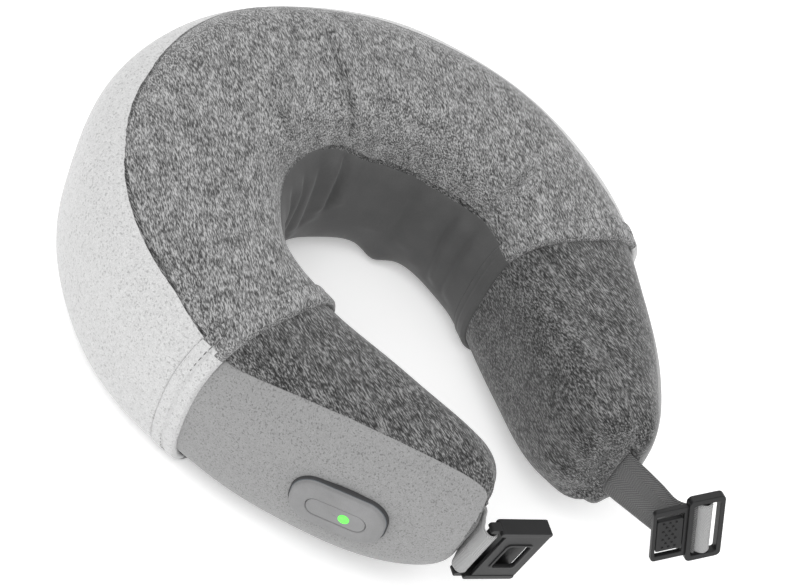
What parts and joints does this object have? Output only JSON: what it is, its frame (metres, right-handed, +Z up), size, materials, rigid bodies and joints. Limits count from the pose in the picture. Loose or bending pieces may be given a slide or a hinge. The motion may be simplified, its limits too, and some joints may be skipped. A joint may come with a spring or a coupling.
{
  "type": "shiatsu neck massager",
  "caption": "U-shaped neck pillow with a removable knit sleeve, a kneading mechanism at the nape, a lit control pod on one arm and a strap with a buckle.",
  "frame": {"origin": "middle of the neck opening on the resting plane: the centre of the pillow's round back", "axes": "+Y towards the nape, where the pillow is thickest; the arms run towards -Y; +Z up; the control pod is on the -X arm"},
  "size_m": [0.2922, 0.3586, 0.0987],
  "materials": {
    "melange_light": "light grey melange knit with dark flecks, soft nap",
    "heather_mid": "mid grey heather knit, short streaky fibres",
    "heather_dark": "dark heather knit, diagonal streaks",
    "melange_mid": "mid light grey speckled melange knit",
    "stretch_smooth": "smooth dark grey stretch fabric",
    "foam": "open-cell polyurethane foam",
    "webbing_dark": "dark grey herringbone polyester webbing",
    "webbing_light": "light grey satin webbing",
    "buckle_black": "moulded acetal, fine satin",
    "pod_grey": "soft-touch silicone",
    "lens_green": "lit translucent lens",
    "abs_grey": "moulded ABS",
    "nylon_white": "moulded nylon",
    "acetal_worm": "moulded acetal",
    "steel": "zinc-plated steel",
    "bronze": "sintered bronze",
    "head_blue": "rubber-skinned massage head",
    "pcb_green": "solder mask",
    "black_part": "moulded plastic",
    "cell_blue": "shrink sleeve",
    "wire_black": "PVC lead",
    "wire_red": "PVC lead"
  },
  "bodies": {
    "pillow": {"sleeve_outer_panel": "melange_light", "sleeve_top_panel": "heather_mid", "sleeve_neck_panel": "stretch_smooth", "sleeve_bottom_panel": "heather_mid", "sleeve_hem_left": "melange_light", "sleeve_hem_right": "melange_light", "base_cover_middle": "heather_dark", "left_arm_side_panel": "melange_mid", "left_arm_top_panel": "heather_dark", "left_arm_inner_panel": "heather_dark", "right_arm_side_panel": "melange_mid", "right_arm_top_panel": "heather_dark", "right_arm_inner_panel": "heather_dark", "foam_back": "foam", "foam_arm_left": "foam", "foam_arm_right": "foam", "gear_housing_front": "abs_grey", "gear_housing_rear": "abs_grey", "housing_screws": "steel", "motor_can": "steel", "motor_end_cap": "nylon_white", "worm_bearing": "steel", "shaft_bushes": "bronze", "control_housing": "abs_grey", "control_pad": "pod_grey", "control_board": "pcb_green", "tact_switch": "black_part", "control_screws": "steel", "battery_cells": "cell_blue", "battery_case": "abs_grey", "battery_lid": "abs_grey", "charge_board": "pcb_green", "charge_socket": "steel", "charge_bezel": "black_part", "wiring_harness": "wire_black", "motor_lead": "wire_red", "left_strap_anchor": "webbing_light", "right_strap_anchor": "webbing_dark"},
    "left_rotor": {"worm_wheel_left": "nylon_white", "output_shaft_left": "steel", "kneading_arm_left": "abs_grey", "head_pins_left": "steel"},
    "right_rotor": {"worm_wheel_right": "nylon_white", "output_shaft_right": "steel", "kneading_arm_right": "abs_grey", "head_pins_right": "steel"},
    "worm_drive": {"worm": "acetal_worm", "motor_shaft": "steel"},
    "left_head_a": {"massage_head_left_a": "head_blue"},
    "left_head_b": {"massage_head_left_b": "head_blue"},
    "right_head_a": {"massage_head_right_a": "head_blue"},
    "right_head_b": {"massage_head_right_b": "head_blue"},
    "power_key": {"power_key": "pod_grey", "status_lens": "lens_green"},
    "left_webbing": {"left_strap": "webbing_light"},
    "receiver": {"left_buckle": "buckle_black"},
    "right_webbing": {"right_strap": "webbing_dark"},
    "tongue": {"right_buckle": "buckle_black"},
    "latch_tab": {"latch_tab": "buckle_black"}
  },
  "joints": [
    {"name": "left_kneader_spin", "type": "hinge", "parent": "pillow", "child": "left_rotor", "pos_m": [-0.02659, 0.09531, 0.05], "axis": [-0.1736, 0.9848, 0], "continuous": true},
    {"name": "right_kneader_spin", "type": "hinge", "parent": "pillow", "child": "right_rotor", "pos_m": [0.02659, 0.09531, 0.05], "axis": [0.1736, 0.9848, 0], "continuous": true},
    {"name": "worm_spin", "type": "hinge", "parent": "pillow", "child": "worm_drive", "pos_m": [0, 0.1, 0.05], "axis": [0, 0, 1], "continuous": true},
    {"name": "left_head_a_spin", "type": "hinge", "parent": "left_rotor", "child": "left_head_a", "pos_m": [-0.02077, 0.06232, 0.065], "axis": [-0.1736, 0.9848, 0], "continuous": true},
    {"name": "left_head_b_spin", "type": "hinge", "parent": "left_rotor", "child": "left_head_b", "pos_m": [-0.02077, 0.06232, 0.035], "axis": [-0.1736, 0.9848, 0], "continuous": true},
    {"name": "right_head_a_spin", "type": "hinge", "parent": "right_rotor", "child": "right_head_a", "pos_m": [0.03555, 0.05972, 0.05], "axis": [0.1736, 0.9848, 0], "continuous": true},
    {"name": "right_head_b_spin", "type": "hinge", "parent": "right_rotor", "child": "right_head_b", "pos_m": [0.006, 0.06492, 0.05], "axis": [0.1736, 0.9848, 0], "continuous": true},
    {"name": "power_key_press", "type": "slide", "parent": "pillow", "child": "power_key", "axis": [0.7931, 0.6091, 0], "range_m": [0, 0.0008], "stiffness_N_per_m": 400, "springref_m": -0.0012},
    {"name": "left_strap_bend", "type": "hinge", "parent": "pillow", "child": "left_webbing", "pos_m": [-0.04494, -0.15276, 0.0573], "axis": [0, 0, 1], "range_deg": [-10, 20]},
    {"name": "left_buckle_turn", "type": "hinge", "parent": "left_webbing", "child": "receiver", "pos_m": [-0.0465, -0.1605, 0.051], "axis": [0.102, -0.0581, 0.9931], "range_deg": [-30, 30]},
    {"name": "right_strap_bend", "type": "hinge", "parent": "pillow", "child": "right_webbing", "pos_m": [0.04494, -0.15276, 0.0573], "axis": [0, 0, 1], "range_deg": [-30, 20]},
    {"name": "right_buckle_turn", "type": "hinge", "parent": "right_webbing", "child": "tongue", "pos_m": [0.0675, -0.1935, 0.0595], "axis": [-0.2049, 0.3482, 0.9147], "range_deg": [-8, 60]},
    {"name": "latch_tab_press", "type": "hinge", "parent": "tongue", "child": "latch_tab", "pos_m": [0.05772, -0.1904, 0.05613], "axis": [0.2049, -0.3482, -0.9147], "range_deg": [0, 8], "stiffness_Nm_per_rad": 0.25, "springref_deg": -5.73}
  ],
  "couplings": [
    {"joint": "right_kneader_spin", "follows": "left_kneader_spin", "ratio": -1},
    {"joint": "worm_spin", "follows": "left_kneader_spin", "ratio": 44}
  ]
}
